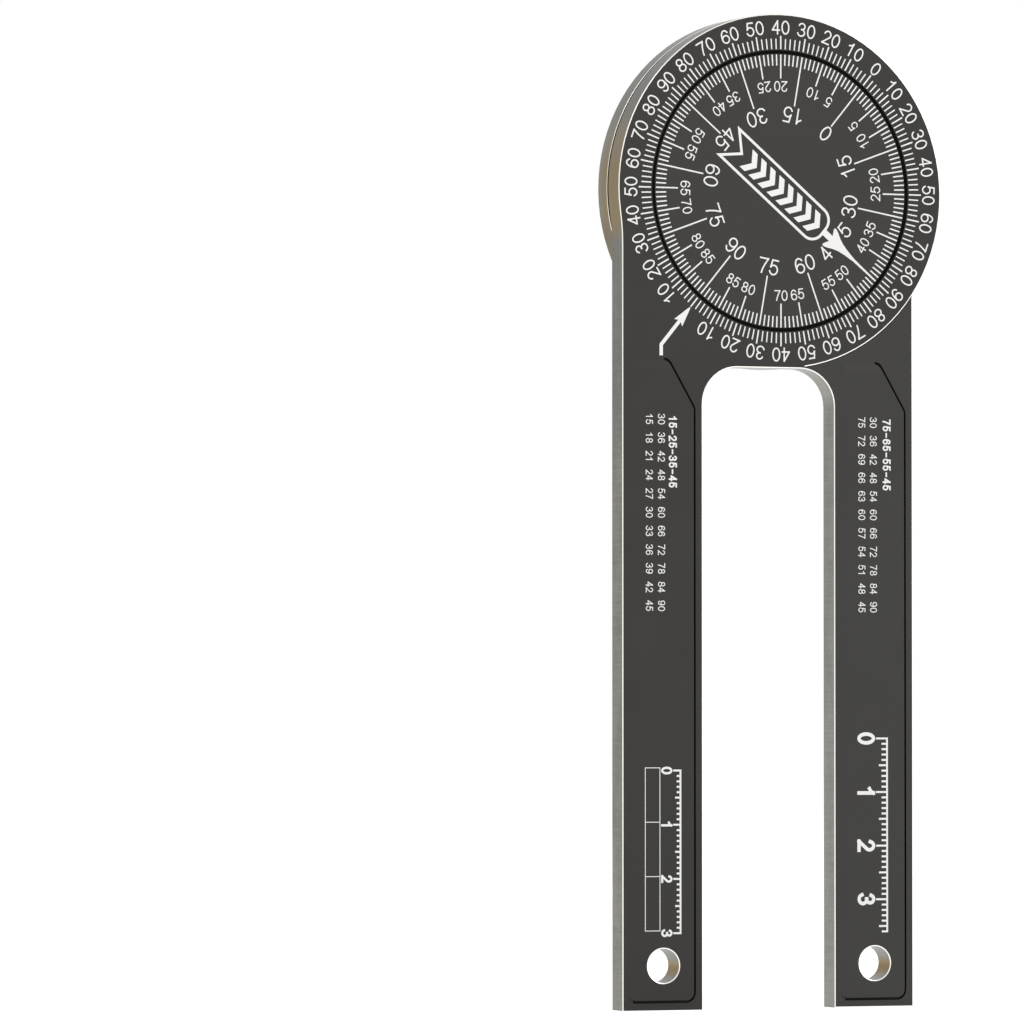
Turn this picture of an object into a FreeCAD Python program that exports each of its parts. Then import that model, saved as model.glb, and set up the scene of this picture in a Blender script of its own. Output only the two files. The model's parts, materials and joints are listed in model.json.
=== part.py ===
"""Angle finder with two arms, for copying a corner onto a miter saw.

The left arm is a flat plate: a leg with a scale ring at its head. The right arm's leg lies in the same
plane, and its head is a thick disc behind the ring. A hub on that disc turns inside the ring and carries
the dial, which lies flush with the ring. Millimetres; X to the right, Y to the back, Z up the legs.
The origin is on the ground straight below the pivot, and half-way through the thickness.
"""
import FreeCAD, Part
import os
from math import cos, pi, radians, sin, sqrt

V = FreeCAD.Vector

# ---- Overall sizes -------------------------------------------------------------------------------
PIVOT_HEIGHT = 152.0          # leg ends to pivot axis
HEAD_RADIUS = 33.0            # scale ring and rear disc
ARM_THICKNESS = 5.0           # left arm, and the right arm's leg
REAR_DISC_THICKNESS = 4.5
LEG_WIDTH = 16.25
LEFT_LEG_INSET = 0.75         # left leg's outer edge, inside the ring's left edge
RIGHT_LEG_INSET = 5.85        # right leg's outer edge, inside the ring's right edge
ARCH_FILLET = 7.0             # rounds between the legs and the arch above them
SHOULDER_FILLET = 40.0        # round where the ring runs into the left leg's outer edge
BRIGHT_CUT_WIDTH = 0.18       # bright cut along the front outlines: across the face
BRIGHT_CUT_DEPTH = 0.07       # and down the side
BACK_CHAMFER = 0.3
REAR_DISC_CHAMFER = 0.5
PARTING_CHAMFER = 0.1         # rear disc's front edge, beside the parting line

# ---- Head of the left arm, and what runs in it ---------------------------------------------------
DIAL_RADIUS = 25.6
DIAL_THICKNESS = 1.9
DIAL_EDGE = 0.1
RIM_GAP = 0.65                # black gap between the dial and the scale ring
RIM_LIP_BELOW_FACE = 0.1      # top of the black lip in that gap
SPRING_SPACE = 0.4            # between the dial and the rim bearing's flange
RIM_FLANGE_THICKNESS = 0.3
HUB_RADIUS = 20.2
HUB_BEARING_WALL = 0.7
THRUST_WASHER_THICKNESS = 0.4
THRUST_WASHER_MARGIN = 2.0    # washer's edge inside the ring's edge
RUNNING_FIT = 0.05            # radial, in each plain bearing
HEAD_CLEARANCE = 0.15         # between the ring's edge and the right leg's hollow top
BEARING_END_CLEARANCE = 0.1

# ---- Spring --------------------------------------------------------------------------------------
SPRING_WIRE = 0.2             # thickness of the strip
SPRING_WAVES = 6
SPRING_END_CLEARANCE = 0.02
SPRING_SIDE_CLEARANCE = 0.5   # to the rim lip, and to the hub bearing

# ---- Right arm's head ----------------------------------------------------------------------------
HUB_WALL = 3.6
HUB_FLOOR = 4.0               # rear disc left behind the hollow of the hub
BACK_RECESS_DEPTH = 0.4
BACK_RIM_WIDTH = 4.5
LUG_INSET = 2.85              # lug's side, from the leg's inner edge
LUG_LENGTH = 13.0             # below the head
LUG_CORNER = 3.0
STOP_ANGLE = 8.5              # where the two arms meet when closed, from straight below the pivot
STOP_GAP = 0.05

# ---- Dial fixing ---------------------------------------------------------------------------------
SCREW_COUNT = 4
SCREW_FIRST_ANGLE = 45.0
SCREW_RADIUS = 1.5
SCREW_HEAD_RADIUS = 2.8
SCREW_END_CLEARANCE = 0.55   # from the screw's tip to the end of its hole, which suits an M3 x 8
SOCKET_ACROSS_FLATS = 2.0
SOCKET_DEPTH = 1.1
SCREW_HEAD_BELOW_FACE = 0.05
THREAD_CLEARANCE = 0.02
SCREW_CLEARANCE = 0.1
BOSS_RADIUS = 3.0
BOSS_LENGTH = 2.6
BOSS_HOLE_SKIN = 0.9          # dial metal left in front of a blind hole
PAD_RADIUS = 3.6
PAD_TO_WALL = 1.5             # between a screw's pad and the hub's wall
PIN_COUNT = 2
PIN_FIRST_ANGLE = 0.0
PIN_RADIUS = 1.0
PIN_LENGTH = 4.0
PIN_CLEARANCE = 0.01
PIN_END_CLEARANCE = 0.1

# ---- Panels and holes of the legs ----------------------------------------------------------------
PANEL_RAISE = 0.3
PANEL_RAMP = 1.6              # length of the gentle slopes up to the panel, at its left and its top
PANEL_INSET_LEFT = 1.1
PANEL_INSET_RIGHT = 1.95
PANEL_INSET_END = 1.8
PANEL_TOP_ABOVE_ARCH = 1.05
PANEL_SHOULDER_DROP = 8.85    # height of the slanted edge
PANEL_SHOULDER_WIDTH = 5.2
PANEL_CORNER = 1.5
PANEL_HEAD_MARGIN = 0.4       # panel's top, outside the hollow of the right leg
GROOVE_WIDTH = 0.5
GROOVE_DEPTH = 0.5
GROOVE_START = 1.0            # groove's lower left end, from the panel's left edge
GROOVE_HOOK = 0.7             # groove's upper end, past the panel's slanted corner
HANG_HOLE_RADIUS = 3.175
HANG_HOLE_FROM_END = 8.2
HOLE_CHAMFER = 0.25           # at the hole's back edge

# ---- For the construction itself -----------------------------------------------------------------
EDGE_TOLERANCE = 0.01         # an edge this near a limit counts as on it
STOP_BAND = 0.2               # edges of the stop, left out of the bright chamfer
CUT_BEYOND = 1.0              # a cutting block stands this far past what it cuts
WAVE_STEPS = 8                # points along one wave of the spring
HEXAGON = 6

# ---- Worked out from the above -------------------------------------------------------------------
REAR_FACE = ARM_THICKNESS + THRUST_WASHER_THICKNESS      # depth of the rear disc's front face
BACK_FACE = REAR_FACE + REAR_DISC_THICKNESS
FRONT_Y = -(BACK_FACE - PANEL_RAISE) / 2
LEFT_OUTER = -(HEAD_RADIUS - LEFT_LEG_INSET)
LEFT_INNER = LEFT_OUTER + LEG_WIDTH
RIGHT_OUTER = HEAD_RADIUS - RIGHT_LEG_INSET
RIGHT_INNER = RIGHT_OUTER - LEG_WIDTH
RIM_RADIUS = DIAL_RADIUS + RIM_GAP
FLANGE_FACE = DIAL_THICKNESS + SPRING_SPACE
LEDGE_FACE = FLANGE_FACE + RIM_FLANGE_THICKNESS
BEARING_INNER = HUB_RADIUS + RUNNING_FIT
BEARING_OUTER = BEARING_INNER + HUB_BEARING_WALL
LEDGE_BORE = BEARING_OUTER + RUNNING_FIT
HOLLOW_RADIUS = HEAD_RADIUS + HEAD_CLEARANCE
RECESS_FACE = BACK_FACE - BACK_RECESS_DEPTH
HUB_FLOOR_FACE = BACK_FACE - HUB_FLOOR
BOSS_FACE = DIAL_THICKNESS + BOSS_LENGTH
PIN_CIRCLE = HUB_RADIUS - HUB_WALL / 2
SCREW_CIRCLE = HUB_RADIUS - HUB_WALL - PAD_TO_WALL - PAD_RADIUS
SCREW_HEAD_FACE = RECESS_FACE - SCREW_HEAD_BELOW_FACE
SCREW_TIP = BOSS_HOLE_SKIN + SCREW_END_CLEARANCE
LEG_FOOT = -PIVOT_HEIGHT                                  # heights count from the pivot axis

NODES = {}


def place(across, depth, height):
    """Point from its distance right of the pivot, depth behind the front face and height over the pivot."""
    return V(across, FRONT_Y + depth, PIVOT_HEIGHT + height)


def disc(radius, depth_from, depth_to, across=0.0, height=0.0):
    return Part.makeCylinder(radius, depth_to - depth_from, place(across, depth_from, height), V(0, 1, 0))


def ring(inner, outer, depth_from, depth_to):
    return disc(outer, depth_from, depth_to).cut(disc(inner, depth_from, depth_to))


def prism(edges, depth_from, depth_to):
    """Solid from edges that close an outline drawn at depth 0."""
    face = Part.Face(Part.Wire(Part.__sortEdges__(edges)))
    face.translate(V(0, depth_from, 0))
    return face.extrude(V(0, depth_to - depth_from, 0))


def block(across_from, across_to, height_from, height_to, depth_from, depth_to):
    corner = place(across_from, depth_from, height_from)
    return Part.makeBox(across_to - across_from, depth_to - depth_from, height_to - height_from, corner)


def rounded_outline(corners):
    """Closed outline through (across, height, radius) corners; a radius of 0 leaves the corner sharp."""
    points = [place(across, 0, height) for across, height, _ in corners]
    edges = []
    start = None
    first = None
    for index, (_, _, radius) in enumerate(corners):
        here = points[index]
        back = (points[index - 1] - here).normalize()
        ahead = (points[(index + 1) % len(points)] - here).normalize()
        if radius > 0:
            half = back.getAngle(ahead) / 2
            reach = radius * cos(half) / sin(half)
            entry = here + back * reach
            leave = here + ahead * reach
            bisector = (back + ahead).normalize()
            middle = here + bisector * (radius / sin(half) - radius)
        else:
            entry = leave = here
        if start is not None:
            edges.append(Part.LineSegment(start, entry).toShape())
        if radius > 0:
            edges.append(Part.Arc(entry, middle, leave).toShape())
        if first is None:
            first = entry
        start = leave
    edges.append(Part.LineSegment(start, first).toShape())
    return edges


def on_plane(edge, depth):
    """True where the whole edge lies at this depth."""
    level = FRONT_Y + depth
    middle = edge.valueAt((edge.FirstParameter + edge.LastParameter) / 2)
    points = [vertex.Point for vertex in edge.Vertexes] + [middle]
    return all(abs(point.y - level) < 1e-6 for point in points)


def on_line(edge, across, height):
    """True where the edge runs through the thickness at this place."""
    spots = [(vertex.Point.x - across, vertex.Point.z - PIVOT_HEIGHT - height) for vertex in edge.Vertexes]
    return all(abs(away) < EDGE_TOLERANCE for spot in spots for away in spot)


def middle_of(edge):
    """The edge's middle as distance right of the pivot and height over it."""
    middle = edge.valueAt((edge.FirstParameter + edge.LastParameter) / 2)
    return middle.x, middle.z - PIVOT_HEIGHT


def chamfered(solid, size, depth, wanted):
    edges = [edge for edge in solid.Edges if on_plane(edge, depth) and wanted(*middle_of(edge))]
    return solid.makeChamfer(size, edges) if edges else solid


def is_wall(face):
    """True where the face's middle points away from the Y axis."""
    u_from, u_to, v_from, v_to = face.ParameterRange
    return abs(face.normalAt((u_from + u_to) / 2, (v_from + v_to) / 2).y) < EDGE_TOLERANCE


def bright_cut(solid, depth, wanted):
    """Shallow chamfer along outline edges: wide across the face, and a little way down the wall."""
    for wall_first, sizes in ((True, (BRIGHT_CUT_DEPTH, BRIGHT_CUT_WIDTH)),
                              (False, (BRIGHT_CUT_WIDTH, BRIGHT_CUT_DEPTH))):
        edges = []
        for edge in solid.Edges:
            if on_plane(edge, depth) and wanted(*middle_of(edge)):
                beside = [is_wall(face) for face in solid.ancestorsOfType(edge, Part.Face)]
                if beside == [wall_first, not wall_first]:
                    edges.append(edge)
        if edges:
            solid = solid.makeChamfer(*sizes, edges)
    return solid


def on_stop(across, height):
    """True at the faces where the two arms meet when closed."""
    from_line = abs(across * cos(radians(STOP_ANGLE)) + height * sin(radians(STOP_ANGLE)))
    return from_line < STOP_BAND and height < 0 and across < RIGHT_INNER


def turned(angle):
    """Direction from the pivot, clockwise from straight up as seen from the front."""
    return sin(radians(angle)), cos(radians(angle))


def around(count, first_angle, radius):
    """Centres of holes or screws spread evenly round the pivot."""
    centres = []
    for index in range(count):
        across, height = turned(first_angle + 360.0 / count * index)
        centres.append((radius * across, radius * height))
    return centres


def beyond_stop(angle):
    """Everything right of a line that runs from the pivot to the stop, and then straight down the gap."""
    drop = HEAD_RADIUS + ARCH_FILLET / 2
    elbow = drop * sin(radians(angle)) / cos(radians(angle))
    reach = 2 * (HEAD_RADIUS + PIVOT_HEIGHT)
    corners = [(0, 0), (elbow, -drop), (elbow, -reach), (reach, -reach), (reach, 0), (0, 0)]
    face = Part.Face(Part.makePolygon([place(across, 0, height) for across, height in corners]))
    return face.extrude(V(0, ARM_THICKNESS, 0))


# ---- The two legs and the arch between them, as one blank that is split at the stop ----------------
legs_outline = rounded_outline([
    (LEFT_OUTER, LEG_FOOT, 0),
    (LEFT_INNER, LEG_FOOT, 0),
    (LEFT_INNER, -HEAD_RADIUS, ARCH_FILLET),
    (RIGHT_INNER, -HEAD_RADIUS, ARCH_FILLET),
    (RIGHT_INNER, LEG_FOOT, 0),
    (RIGHT_OUTER, LEG_FOOT, 0),
    (RIGHT_OUTER, -sqrt(HOLLOW_RADIUS ** 2 - RIGHT_OUTER ** 2) + HEAD_CLEARANCE, 0),
    (0, 0, 0),
    (LEFT_OUTER, 0, 0),
])
legs_blank = prism(legs_outline, 0, ARM_THICKNESS)
stop_half_gap = STOP_GAP / 2 / HEAD_RADIUS * 180 / pi


def leg_panel(leg_inner_side, leg_outer_side):
    """Raised panel on a leg, and the groove at its foot along the right and lower edges."""
    left = leg_inner_side + PANEL_INSET_LEFT
    right = leg_outer_side - PANEL_INSET_RIGHT
    foot = LEG_FOOT + PANEL_INSET_END
    top = -HEAD_RADIUS + PANEL_TOP_ABOVE_ARCH

    def ramped(panel):
        """Cuts the panel's left and top edges down to gentle slopes."""
        over = -PANEL_RAISE - CUT_BEYOND
        side_slope = [(left - CUT_BEYOND, over), (left - CUT_BEYOND, 0), (left, 0),
                      (left + PANEL_RAMP, -PANEL_RAISE), (left + PANEL_RAMP, over)]
        side_face = Part.Face(Part.makePolygon([place(across, depth, foot - CUT_BEYOND)
                                                for across, depth in side_slope + side_slope[:1]]))
        top_slope = [(top + CUT_BEYOND, over), (top + CUT_BEYOND, 0), (top, 0),
                     (top - PANEL_RAMP, -PANEL_RAISE), (top - PANEL_RAMP, over)]
        top_face = Part.Face(Part.makePolygon([place(left - CUT_BEYOND, depth, height)
                                               for height, depth in top_slope + top_slope[:1]]))
        panel = panel.cut(side_face.extrude(V(0, 0, top - foot + 2 * CUT_BEYOND)))
        return panel.cut(top_face.extrude(V(right - left + CUT_BEYOND, 0, 0)))

    def outline(grow):
        slant = sqrt(PANEL_SHOULDER_WIDTH ** 2 + PANEL_SHOULDER_DROP ** 2)
        shoulder_shift = grow * (slant - PANEL_SHOULDER_DROP) / PANEL_SHOULDER_WIDTH
        top_shift = grow * (slant - PANEL_SHOULDER_WIDTH) / PANEL_SHOULDER_DROP
        corner = PANEL_CORNER + grow
        return rounded_outline([
            (left - grow, foot - grow, corner),
            (right + grow, foot - grow, corner),
            (right + grow, top - PANEL_SHOULDER_DROP + shoulder_shift, corner),
            (right - PANEL_SHOULDER_WIDTH + top_shift, top + grow, corner),
            (left - grow, top + grow, corner),
        ])

    head_room = disc(HOLLOW_RADIUS + PANEL_HEAD_MARGIN, -PANEL_RAISE, ARM_THICKNESS)
    panel = prism(outline(0), -PANEL_RAISE, ARM_THICKNESS / 2)
    panel = ramped(panel.cut(head_room))
    groove = prism(outline(GROOVE_WIDTH), 0, GROOVE_DEPTH).cut(prism(outline(0), 0, GROOVE_DEPTH))
    above = top + CUT_BEYOND
    below = top - CUT_BEYOND
    past_left = left - 2 * GROOVE_WIDTH
    reach_of_top = right - PANEL_SHOULDER_WIDTH - GROOVE_HOOK
    side_strip = block(past_left, left + GROOVE_START, foot - GROOVE_WIDTH, above, -CUT_BEYOND, CUT_BEYOND)
    top_strip = block(left, reach_of_top, below, above, -CUT_BEYOND, CUT_BEYOND)
    groove = groove.cut(side_strip).cut(top_strip).cut(head_room)
    return panel, groove


def with_panel_and_hole(arm, leg_left, leg_right):
    panel, groove = leg_panel(leg_left, leg_right)
    centre = (leg_left + leg_right) / 2
    height = LEG_FOOT + HANG_HOLE_FROM_END
    arm = arm.cut(groove).fuse(panel)
    arm = arm.cut(disc(HANG_HOLE_RADIUS, -PANEL_RAISE, ARM_THICKNESS, centre, height))

    def at_hole(across, up):
        return sqrt((across - centre) ** 2 + (up - height) ** 2) < HANG_HOLE_RADIUS + EDGE_TOLERANCE

    arm = bright_cut(arm.removeSplitter(), -PANEL_RAISE, at_hole)
    return chamfered(arm, HOLE_CHAMFER, ARM_THICKNESS, at_hole)


# ---- Left arm: scale ring and left leg, one plate --------------------------------------------------
def make_left_arm():
    arm = legs_blank.cut(beyond_stop(STOP_ANGLE - stop_half_gap))
    arm = disc(HEAD_RADIUS, 0, ARM_THICKNESS).fuse(arm).removeSplitter()
    shoulder = -sqrt(HEAD_RADIUS ** 2 - LEFT_OUTER ** 2)
    corner = [edge for edge in arm.Edges if on_line(edge, LEFT_OUTER, shoulder)]
    arm = arm.makeFillet(SHOULDER_FILLET, corner)
    arm = bright_cut(arm, 0, lambda across, height: not on_stop(across, height))
    arm = chamfered(arm, BACK_CHAMFER, ARM_THICKNESS, lambda across, height: not on_stop(across, height))
    arm = with_panel_and_hole(arm, LEFT_OUTER, LEFT_INNER)
    arm = arm.cut(disc(RIM_RADIUS, 0, LEDGE_FACE))
    return arm.cut(disc(LEDGE_BORE, 0, ARM_THICKNESS))


# ---- Right arm: leg, lug, rear disc and hub, one piece ---------------------------------------------
def make_right_arm():
    leg = legs_blank.common(beyond_stop(STOP_ANGLE + stop_half_gap))

    def off_hollow(across, height):
        outside = sqrt(across ** 2 + height ** 2) > HOLLOW_RADIUS + EDGE_TOLERANCE
        return outside and not on_stop(across, height)

    leg = bright_cut(leg, 0, off_hollow)
    leg = leg.cut(disc(HOLLOW_RADIUS, 0, ARM_THICKNESS))

    lug_side = RIGHT_INNER + LUG_INSET
    lug_foot = -HEAD_RADIUS - LUG_LENGTH
    lug_outline = rounded_outline([
        (lug_side, 0, 0),
        (lug_side, lug_foot, LUG_CORNER),
        (RIGHT_OUTER, lug_foot, 0),
        (RIGHT_OUTER, 0, 0),
    ])
    lug = prism(lug_outline, ARM_THICKNESS, BACK_FACE)
    lug = lug.cut(disc(HOLLOW_RADIUS, ARM_THICKNESS, REAR_FACE))
    rear = disc(HEAD_RADIUS, REAR_FACE, BACK_FACE).fuse(lug).removeSplitter()
    rear = chamfered(rear, REAR_DISC_CHAMFER, BACK_FACE, lambda across, height: True)
    rear = chamfered(rear, PARTING_CHAMFER, REAR_FACE, lambda across, height: across < 0 or height > 0)

    arm = leg.fuse(rear).removeSplitter()

    def free_back_edge(across, height):
        on_leg_side = across > RIGHT_OUTER - EDGE_TOLERANCE and height < lug_foot
        at_foot = height < LEG_FOOT + EDGE_TOLERANCE
        on_inner_side = across < RIGHT_INNER + EDGE_TOLERANCE
        return off_hollow(across, height) and (on_leg_side or at_foot or on_inner_side)

    arm = chamfered(arm, BACK_CHAMFER, ARM_THICKNESS, free_back_edge)
    arm = with_panel_and_hole(arm, RIGHT_INNER, RIGHT_OUTER)

    arm = arm.cut(disc(HEAD_RADIUS - BACK_RIM_WIDTH, RECESS_FACE, BACK_FACE))
    arm = arm.fuse(disc(HUB_RADIUS, DIAL_THICKNESS, REAR_FACE))
    hollow = disc(HUB_RADIUS - HUB_WALL, DIAL_THICKNESS, HUB_FLOOR_FACE)
    for across, height in around(SCREW_COUNT, SCREW_FIRST_ANGLE, SCREW_CIRCLE):
        hollow = hollow.cut(disc(PAD_RADIUS, BOSS_FACE, HUB_FLOOR_FACE, across, height))
    arm = arm.cut(hollow)
    for across, height in around(SCREW_COUNT, SCREW_FIRST_ANGLE, SCREW_CIRCLE):
        hole = SCREW_RADIUS + SCREW_CLEARANCE
        arm = arm.cut(disc(hole, DIAL_THICKNESS, BACK_FACE, across, height))
        arm = arm.cut(countersink(across, height, SCREW_CLEARANCE, RECESS_FACE))
    for across, height in around(PIN_COUNT, PIN_FIRST_ANGLE, PIN_CIRCLE):
        pin_end = BOSS_HOLE_SKIN + PIN_LENGTH + 2 * PIN_END_CLEARANCE
        arm = arm.cut(disc(PIN_RADIUS + PIN_CLEARANCE, DIAL_THICKNESS, pin_end, across, height))
    return arm.removeSplitter()


def countersink(across, height, clearance, mouth):
    """Cone of a flat-headed screw, opening towards the back."""
    depth = SCREW_HEAD_RADIUS - SCREW_RADIUS
    lift = mouth - SCREW_HEAD_FACE
    base = place(across, SCREW_HEAD_FACE - depth, height)
    return Part.makeCone(SCREW_RADIUS + clearance, SCREW_HEAD_RADIUS + clearance + lift, depth + lift,
                         base, V(0, 1, 0))


# ---- Dial, flush with the scale ring, with a boss for each screw ------------------------------------
def make_dial_plate():
    dial = disc(DIAL_RADIUS, 0, DIAL_THICKNESS)
    dial = chamfered(dial, DIAL_EDGE, 0, lambda across, height: True)
    for across, height in around(SCREW_COUNT, SCREW_FIRST_ANGLE, SCREW_CIRCLE):
        dial = dial.fuse(disc(BOSS_RADIUS, DIAL_THICKNESS / 2, BOSS_FACE, across, height))
    for across, height in around(SCREW_COUNT, SCREW_FIRST_ANGLE, SCREW_CIRCLE):
        thread = SCREW_RADIUS + THREAD_CLEARANCE
        dial = dial.cut(disc(thread, BOSS_HOLE_SKIN, BOSS_FACE, across, height))
    for across, height in around(PIN_COUNT, PIN_FIRST_ANGLE, PIN_CIRCLE):
        dial = dial.cut(disc(PIN_RADIUS + PIN_CLEARANCE, BOSS_HOLE_SKIN, DIAL_THICKNESS, across, height))
    return dial.removeSplitter()


# ---- Plain bearings ----------------------------------------------------------------------------------
def make_rim_bearing():
    """Black ring of L section: a flange under the dial, and the lip seen in the gap round it."""
    lip_inner = DIAL_RADIUS + RUNNING_FIT
    outer = RIM_RADIUS - RUNNING_FIT
    flange = ring(LEDGE_BORE + 2 * RUNNING_FIT, outer, FLANGE_FACE, LEDGE_FACE)
    lip = ring(lip_inner, outer, RIM_LIP_BELOW_FACE, LEDGE_FACE)
    return flange.fuse(lip).removeSplitter()


def make_hub_bearing():
    end_from = DIAL_THICKNESS + BEARING_END_CLEARANCE
    end_to = REAR_FACE - BEARING_END_CLEARANCE
    return ring(BEARING_INNER, BEARING_OUTER, end_from, end_to)


def make_thrust_washer():
    inner = LEDGE_BORE + THRUST_WASHER_MARGIN / 2
    return ring(inner, HEAD_RADIUS - THRUST_WASHER_MARGIN, ARM_THICKNESS, REAR_FACE)


# ---- Wave spring between the dial and the rim bearing ------------------------------------------------
def make_wave_spring():
    inner = BEARING_OUTER + SPRING_SIDE_CLEARANCE
    outer = DIAL_RADIUS - SPRING_SIDE_CLEARANCE
    middle_depth = DIAL_THICKNESS + SPRING_SPACE / 2
    swing = (SPRING_SPACE - SPRING_WIRE) / 2 - SPRING_END_CLEARANCE
    step = 2 * pi / SPRING_WAVES

    def wave(radius, offset, start):
        points = []
        for part in range(WAVE_STEPS + 1):
            angle = start + step * part / WAVE_STEPS
            depth = middle_depth + offset + swing * cos(SPRING_WAVES * angle)
            points.append(place(radius * sin(angle), depth, radius * cos(angle)))
        curve = Part.BSplineCurve()
        curve.interpolate(points)
        return curve.toShape()

    faces = []
    for index in range(SPRING_WAVES):
        start = step * index
        front_inner, front_outer, back_inner, back_outer = (
            wave(radius, offset, start)
            for offset in (-SPRING_WIRE / 2, SPRING_WIRE / 2) for radius in (inner, outer))
        faces.append(Part.makeRuledSurface(front_inner, front_outer))
        faces.append(Part.makeRuledSurface(back_inner, back_outer))
        faces.append(Part.makeRuledSurface(front_inner, back_inner))
        faces.append(Part.makeRuledSurface(front_outer, back_outer))
    shell = Part.makeShell(faces)
    shell.sewShape()
    solid = Part.makeSolid(Part.Shell(shell.Faces))
    if solid.Volume < 0:
        solid.reverse()
    return solid


# ---- Screws and pins ----------------------------------------------------------------------------------
def make_screw(across, height):
    depth = SCREW_HEAD_RADIUS - SCREW_RADIUS
    shank = disc(SCREW_RADIUS, SCREW_TIP, SCREW_HEAD_FACE - depth / 2, across, height)
    head = countersink(across, height, 0.0, SCREW_HEAD_FACE)
    corner_radius = SOCKET_ACROSS_FLATS / sqrt(3)
    corners = []
    for index in range(HEXAGON + 1):
        angle = index * 2 * pi / HEXAGON
        corners.append(place(across + corner_radius * cos(angle), SCREW_HEAD_FACE - SOCKET_DEPTH,
                             height + corner_radius * sin(angle)))
    socket = Part.Face(Part.makePolygon(corners)).extrude(V(0, SOCKET_DEPTH, 0))
    return shank.fuse(head).cut(socket).removeSplitter()


def make_pin(across, height):
    start = BOSS_HOLE_SKIN + PIN_END_CLEARANCE
    return disc(PIN_RADIUS, start, start + PIN_LENGTH, across, height)


NODES["left_arm"] = make_left_arm()
NODES["right_arm"] = make_right_arm()
NODES["dial_plate"] = make_dial_plate()
NODES["rim_bearing"] = make_rim_bearing()
NODES["wave_spring"] = make_wave_spring()
NODES["hub_bearing"] = make_hub_bearing()
NODES["thrust_washer"] = make_thrust_washer()
for number, spot in enumerate(around(SCREW_COUNT, SCREW_FIRST_ANGLE, SCREW_CIRCLE), 1):
    NODES[f"dial_screw_{number}"] = make_screw(*spot)
for number, spot in enumerate(around(PIN_COUNT, PIN_FIRST_ANGLE, PIN_CIRCLE), 1):
    NODES[f"locating_pin_{number}"] = make_pin(*spot)

os.makedirs("parts", exist_ok=True)
for name, shape in NODES.items():
    solids = shape.Solids
    print(name, "solids", len(solids), "valid", shape.isValid(), "volume", round(shape.Volume, 2))
    shape.exportStep(f"parts/{name}.step")
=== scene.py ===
import json
from math import cos, radians, sin, sqrt

import bmesh
import bpy
from mathutils import Matrix, Vector


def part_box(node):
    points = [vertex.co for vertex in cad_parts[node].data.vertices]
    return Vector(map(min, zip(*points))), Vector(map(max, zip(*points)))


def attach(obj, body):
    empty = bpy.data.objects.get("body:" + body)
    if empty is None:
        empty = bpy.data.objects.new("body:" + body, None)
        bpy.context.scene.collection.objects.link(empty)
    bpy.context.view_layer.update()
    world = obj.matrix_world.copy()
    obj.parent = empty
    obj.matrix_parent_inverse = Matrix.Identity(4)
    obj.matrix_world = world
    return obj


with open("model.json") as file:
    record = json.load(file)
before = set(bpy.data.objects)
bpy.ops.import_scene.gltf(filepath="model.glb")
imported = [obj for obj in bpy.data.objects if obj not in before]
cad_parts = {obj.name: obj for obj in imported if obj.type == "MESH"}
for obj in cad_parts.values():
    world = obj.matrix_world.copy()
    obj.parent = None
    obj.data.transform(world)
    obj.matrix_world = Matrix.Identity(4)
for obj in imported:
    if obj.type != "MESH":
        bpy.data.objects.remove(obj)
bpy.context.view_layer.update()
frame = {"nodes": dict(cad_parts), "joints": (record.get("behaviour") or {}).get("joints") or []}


# ---- Right arm: leg, rear disc and hub --------------------------------------------------------------
# The arm that swings: a long leg with a thick disc at its top and a hub for the dial. It is milled from
# one aluminium plate, blasted and anodised charcoal; then the outlines get a bright chamfer and the
# sides are finished with a cutter, which leaves fine lines along them.
MM = 0.001
PIVOT = Vector(frame["joints"][0]["pos_m"])
FACE_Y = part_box("dial_plate")[0].y              # front face of the dial and the scale ring
PANEL_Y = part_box("left_arm")[0].y               # front face of the raised leg panels
HANG_HOLE_REACH = 3.45 * MM                     # hang hole with its bright cut
HANG_HOLE_HEIGHT = 8.2 * MM
LEG_CENTRE = {"left_arm": -24.125 * MM, "right_arm": 19.025 * MM}
PANEL_REACH = 7.6 * MM                          # from the leg's centre to past the groove at the panel's edge
PANEL_FROM = 0.5 * MM
PANEL_TO = PIVOT.z - 31.1 * MM
STEP_TO = 0.03 * MM                             # behind the ring's face: the raised panel's side ends here
GROOVE_TO = 0.51 * MM                           # and the groove round it reaches from there to here
FACE_ABOVE = 0.96                               # how squarely a face looks to the front or back, at least
SIDE_BELOW = 0.25                               # and a side, at most; the chamfers lie between the two
BORE_REACH = 27.0 * MM                          # past the bore in the scale ring
PARTING_FROM = 5.2 * MM                         # the dark gap before the rear disc, behind the ring's face
PARTING_TO = 5.43 * MM                          # part of the way down the chamfer of the rear disc
REAR_DISC_FROM = 4.0 * MM                       # the disc's back lies behind this, the legs' back before it

CHARCOAL = (0.0255, 0.0240, 0.0220, 1)
CHARCOAL_PALE = (0.0432, 0.0422, 0.0397, 1)
# painted shade, near black, for the panels' grooves, the ring's bore and the gap before the rear disc
RECESS_SHADE = (0.004, 0.004, 0.004, 1)
BRIGHT_CUT = (0.86, 0.84, 0.79, 1)
SIDE_GREY = (0.123, 0.12, 0.104, 1)
SIDE_SILVER = (0.262, 0.256, 0.230, 1)
# The next colour paints a warm reflection on the head's left side, and a brown tint in the hang holes.
SIDE_WARM = (0.207, 0.149, 0.062, 1)
# painted shade on the sides: darker metal at the top of the head and low on its left side
SIDE_SHADE = (0.045, 0.044, 0.040, 1)
FACE_TONE = -0.1                                # plain metal, before grain and clouds are added
SIDE_TONE = -0.4
SIDE_PALE_SHARE = 0.7                                  # the sides show this much of the arm's pale shift
FACE_ROUGHNESS = 0.42
FACE_ROUGHNESS_GRAIN = 0.1
FACE_ROUGHNESS_CLOUDS = 0.08
SIDE_ROUGHNESS = 0.32
SIDE_ROUGHNESS_LINES = 0.1
BRIGHT_ROUGHNESS = 0.28
GRAIN_BUMP = {"Strength": 0.25, "Distance": 0.03 * MM}

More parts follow.
